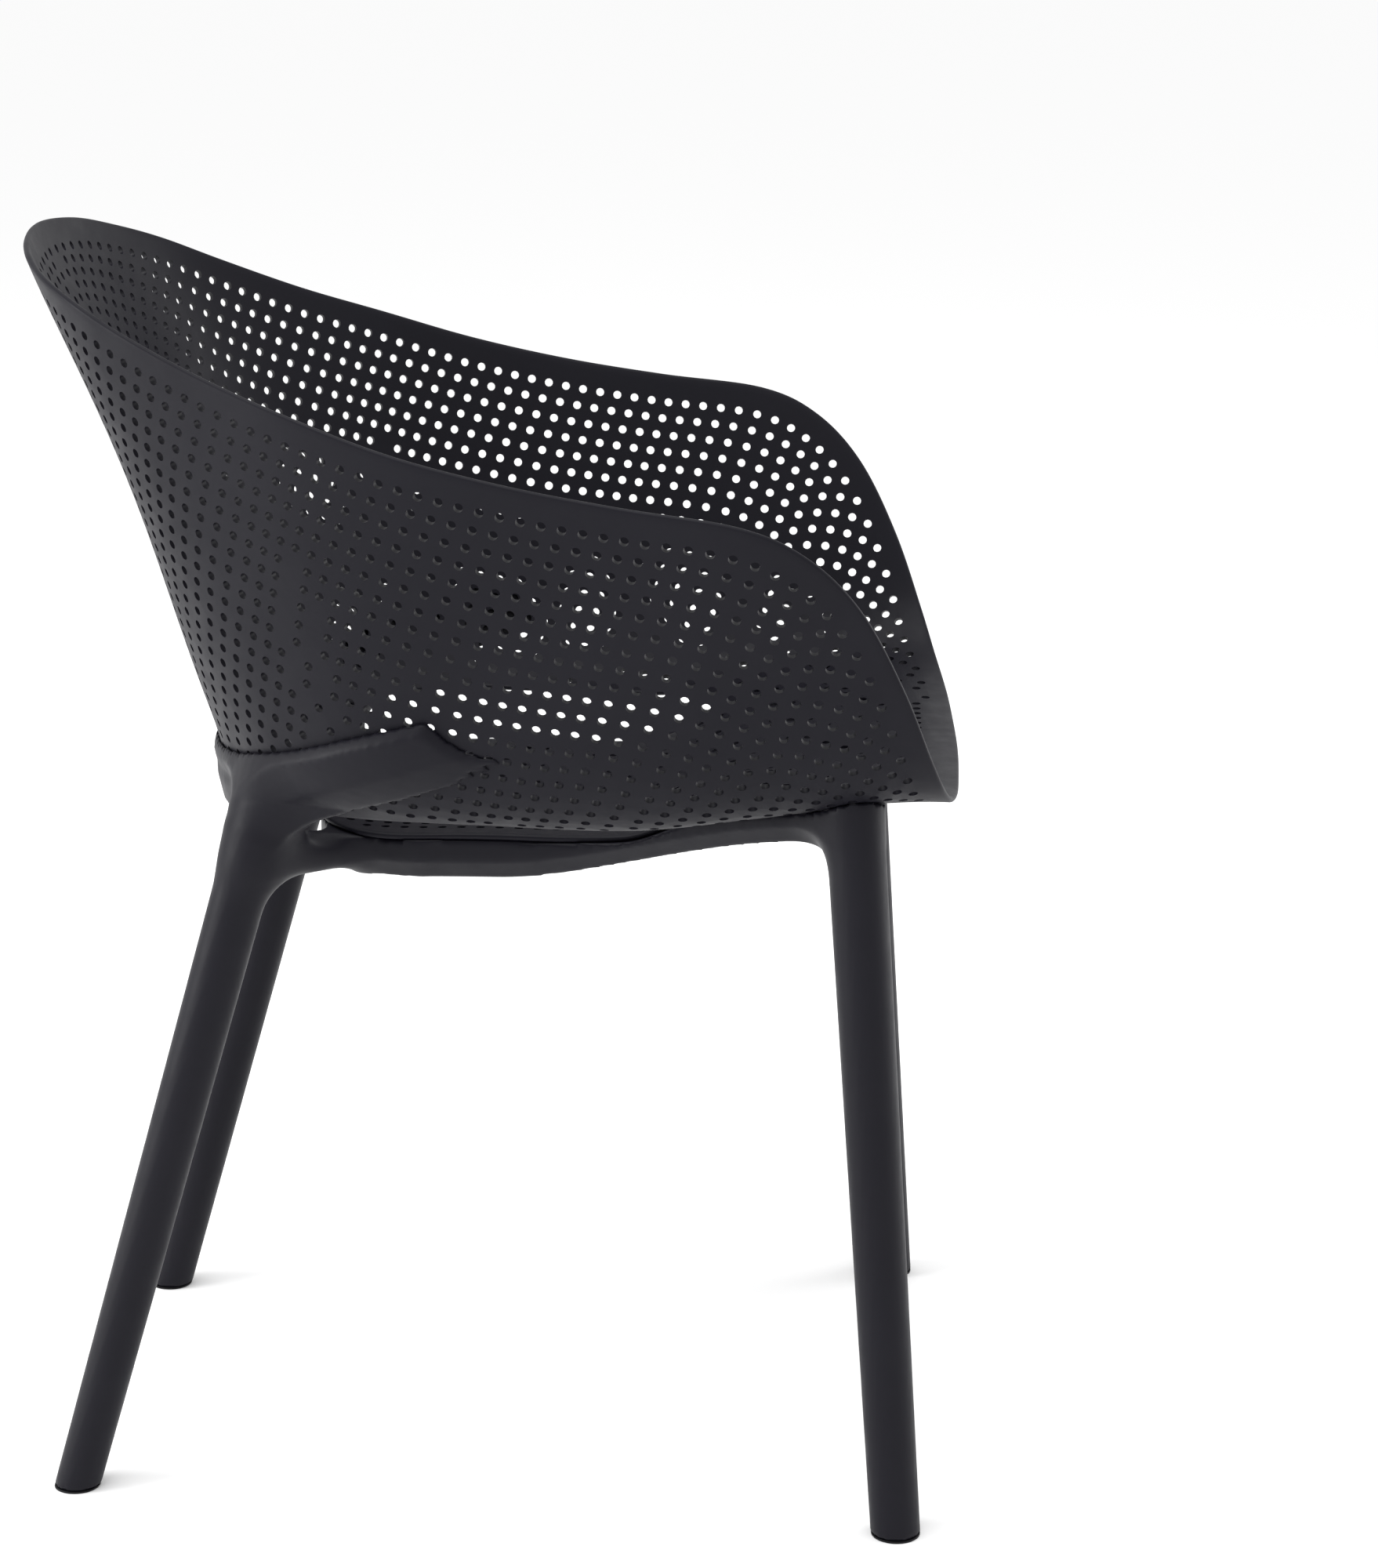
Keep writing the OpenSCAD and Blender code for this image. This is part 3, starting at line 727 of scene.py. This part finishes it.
def make_frame(material):
    field = frame_field()
    limit = 3 * VOXEL
    grid = openvdb.FloatGrid(limit)
    grid.copyFromArray(np.clip(field, -limit, limit))
    grid.transform = openvdb.createLinearTransform(VOXEL)
    points, tris, quads = grid.convertToPolygons(0.0, 0.0)
    half = (field.shape[0] - 1) // 2
    points = points + np.array([GRID_LOW[0] - half * VOXEL, GRID_LOW[1] + SHIFT_Y, GRID_LOW[2]])
    faces = [tuple(map(int, f)) for f in tris] + [tuple(map(int, f)) for f in quads]
    piece = new_object("moulded_frame", points, faces, material)
    drop_loose(piece.data)
    relax(piece.data, FRAME_SMOOTHING)
    piece.data.shade_smooth()
    return piece


def lofted(name, rings, material):
    """A closed body through rings of points, with its two ends filled."""
    points = np.vstack(rings)
    n = len(rings[0])
    faces = [tuple(range(n))[::-1], tuple(range(len(points) - n, len(points)))]
    for k in range(len(rings) - 1):
        low, high = k * n, (k + 1) * n
        faces += [(low + i, low + (i + 1) % n, high + (i + 1) % n, high + i) for i in range(n)]
    piece = new_object(name, points, faces, material)
    drop_loose(piece.data)
    shade(piece)
    return piece


def make_glide(name, leg, side, radius, material):
    """A pad on the floor with a ribbed stem up into the leg."""
    axis = unit(leg[1] - leg[0])
    lean = unit(axis[:2])
    angles = 2 * np.pi * np.arange(GLIDE_SIDES) / GLIDE_SIDES
    # Outline of the glide: height and radius, from the sole's hollow, over the rounded edge and up the stem
    form = [
        (0.5, radius - 9), (0.5, radius - 5), (0, radius - 4.5), (0, radius - 1.1), (0.15, radius - 0.6),
        (0.45, radius - 0.3), (0.8, radius - 0.2), (1.25, radius - 0.2), (PAD_H, radius - 0.4),
        (PAD_H, STEM_R),
    ]
    for rib in range(4):
        form += [(4 + 4 * rib, STEM_R), (4.4 + 4 * rib, STEM_R - 0.6), (7.2 + 4 * rib, STEM_R)]
    form += [(STEM_H - 1, STEM_R - 0.6), (STEM_H, STEM_R - 1.6)]
    rings = []
    for height, r in form:
        middle = leg[0] + axis * (height / axis[2])
        along, across = r * np.cos(angles) / axis[2], r * np.sin(angles)
        ring = np.stack([middle[0] + along * lean[0] - across * lean[1],
                         middle[1] + along * lean[1] + across * lean[0], np.full(GLIDE_SIDES, height)], 1)
        rings.append(ring * (side, 1, 1) + (0, SHIFT_Y, 0))
    return lofted(name, rings, material)


def relax(mesh, rounds, weight=0.5):
    """Evens a mesh out without shrinking it: each round smooths, then swells back."""
    n = len(mesh.vertices)
    co = np.empty(n * 3)
    mesh.vertices.foreach_get("co", co)
    co = co.reshape(-1, 3)
    ends = np.empty(len(mesh.edges) * 2, int)
    mesh.edges.foreach_get("vertices", ends)
    a, b = ends.reshape(-1, 2).T
    degree = np.bincount(a, minlength=n) + np.bincount(b, minlength=n)
    for k in range(rounds * 2):
        total = np.zeros((n, 3))
        for axis in range(3):
            total[:, axis] = np.bincount(a, co[b, axis], n) + np.bincount(b, co[a, axis], n)
        co = co + (weight if k % 2 == 0 else -weight * 1.04) * (total / degree[:, None] - co)
    mesh.vertices.foreach_set("co", co.ravel())
    mesh.update()


# ---------------------------------------------------------------- materials


class Nodes:
    """Short calls for building a node material."""

    def __init__(self, name):
        self.material = bpy.data.materials.new(name)
        self.material.use_nodes = True
        self.tree = self.material.node_tree
        self.shader = self.tree.nodes["Principled BSDF"]
        self.where = self.add("ShaderNodeTexCoord").outputs["Object"]

    def add(self, kind, **values):
        node = self.tree.nodes.new(kind)
        for name, value in values.items():
            if name in node.inputs:
                node.inputs[name].default_value = value
            else:
                setattr(node, name, value)
        return node

    def link(self, output, node, name):
        self.tree.links.new(output, node.inputs[name])

    def noise(self, scale, detail=3.0, roughness=0.55):
        node = self.add("ShaderNodeTexNoise", Scale=scale, Detail=detail, Roughness=roughness)
        self.link(self.where, node, "Vector")
        return node.outputs["Fac"]

    def mapped(self, value, low, high):
        node = self.add("ShaderNodeMapRange")
        for name, number in (("From Min", 0.3), ("From Max", 0.7), ("To Min", low), ("To Max", high)):
            node.inputs[name].default_value = number
        self.link(value, node, "Value")
        return node.outputs["Result"]

    def bump(self, height, distance, strength, under=None):
        node = self.add("ShaderNodeBump", Strength=strength, Distance=distance)
        self.link(height, node, "Height")
        if under is not None:
            self.link(under, node, "Normal")
        return node.outputs["Normal"]


def plastic(name, dark, light, rough, grain=0.35, gloss=0.15):
    """Moulded matte plastic: fine spark-eroded grain, faint flow marks and slightly uneven gloss."""
    m = Nodes(name)
    blend = m.add("ShaderNodeMix", data_type="RGBA")
    colour_inputs = [s for s in blend.inputs if s.type == "RGBA"]
    colour_inputs[0].default_value = (*dark, 1)
    colour_inputs[1].default_value = (*light, 1)
    m.tree.links.new(m.mapped(m.noise(9.0, 4.0), 0.0, 1.0), blend.inputs[0])
    m.link([s for s in blend.outputs if s.type == "RGBA"][0], m.shader, "Base Color")
    m.link(m.mapped(m.noise(60.0, 5.0), rough - 0.04, rough + 0.05), m.shader, "Roughness")
    flow = m.bump(m.noise(45.0, 2.0), 0.00025, 0.10)
    fine = m.bump(m.noise(1500.0, 4.0, 0.7), 0.00006, grain, flow)
    m.link(fine, m.shader, "Normal")
    m.shader.inputs["Specular IOR Level"].default_value = gloss
    return m.material


def steel(name):
    """Zinc-plated steel with fine turning marks."""
    m = Nodes(name)
    m.shader.inputs["Base Color"].default_value = (0.56, 0.57, 0.58, 1)
    m.shader.inputs["Metallic"].default_value = 1.0
    m.link(m.mapped(m.noise(700.0, 4.0), 0.28, 0.46), m.shader, "Roughness")
    m.link(m.bump(m.noise(2200.0, 2.0), 0.00004, 0.4), m.shader, "Normal")
    return m.material


# ---------------------------------------------------------------- stage, lights and camera


def make_stage():
    mesh = bpy.data.meshes.new("floor")
    n, radius = 96, 90.0
    angles = [2 * math.pi * k / n for k in range(n)]
    ring = [(radius * math.cos(angle), radius * math.sin(angle), 0) for angle in angles]
    mesh.from_pydata(ring, [], [tuple(range(n))])
    floor = bpy.data.objects.new("floor", mesh)
    bpy.context.scene.collection.objects.link(floor)
    m = Nodes("pale_floor")
    m.shader.inputs["Base Color"].default_value = (0.96, 0.96, 0.96, 1)
    m.shader.inputs["Specular IOR Level"].default_value = 0.0
    m.link(m.mapped(m.noise(3.0), 0.85, 0.95), m.shader, "Roughness")
    mesh.materials.append(m.material)


def make_light():
    scene = bpy.context.scene
    scene.view_settings.view_transform = "Standard"
    scene.world = bpy.data.worlds.new("studio")
    scene.world.use_nodes = True
    background = scene.world.node_tree.nodes["Background"]
    background.inputs["Color"].default_value = (1, 1, 1, 1)
    background.inputs["Strength"].default_value = 1.0
    centre = (0, 0, 0.45)
    soft_light("rear_side", (-0.9, 3.0, 1.1), centre, 1.6, 70)
    soft_light("above", (-0.6, 0.4, 3.2), centre, 2.2, 50)
    soft_light("front_side", (1.2, -2.8, 0.9), centre, 1.4, 35)


def soft_light(name, place, target, size, power):
    data = bpy.data.lights.new(name, "AREA")
    data.shape = "SQUARE"
    data.size = size
    data.energy = power
    light = bpy.data.objects.new(name, data)
    light.location = place
    light.rotation_euler = (Vector(target) - Vector(place)).to_track_quat("-Z", "Y").to_euler()
    bpy.context.scene.collection.objects.link(light)


def make_camera():
    data = bpy.data.cameras.new("camera")
    data.lens = 84.77
    data.sensor_width = 36.0
    data.clip_end = 200.0
    camera = bpy.data.objects.new("camera", data)
    camera.location = (-2.397, -0.229, 1.072)
    camera.rotation_euler = (math.radians(75.205), 0, math.radians(-87.477))
    bpy.context.scene.collection.objects.link(camera)
    bpy.context.scene.camera = camera


# ---------------------------------------------------------------- assembly

make_camera()
make_light()
make_stage()

tub_plastic = plastic("tub_plastic", (0.0048, 0.0044, 0.0078), (0.0060, 0.0056, 0.0094), 0.50)
frame_plastic = plastic("frame_plastic", (0.0048, 0.0044, 0.0078), (0.0060, 0.0056, 0.0094), 0.47)
glide_plastic = plastic("glide_plastic", (0.0035, 0.0034, 0.0045), (0.0048, 0.0046, 0.0060), 0.55)
screw_steel = steel("screw_steel")

made = [
    (make_tub(tub_plastic), "seat_shell", "tub_plastic"),
    (make_frame(frame_plastic), "leg_frame", "frame_plastic"),
]
for end, leg, radius in (("front", FRONT_LEG, FRONT_R[0]), ("rear", REAR_LEG, REAR_R[0])):
    for hand, side in (("left", 1), ("right", -1)):
        node = f"{end}_{hand}_glide"
        made.append((make_glide(f"{node}_pad", leg, side, radius, glide_plastic), node, "glide_plastic"))

for piece, node, slot in made:
    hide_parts(node)
    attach(piece, "root")

screws = frame["nodes"]["seat_screws"]
screws.data.materials.clear()
screws.data.materials.append(screw_steel)
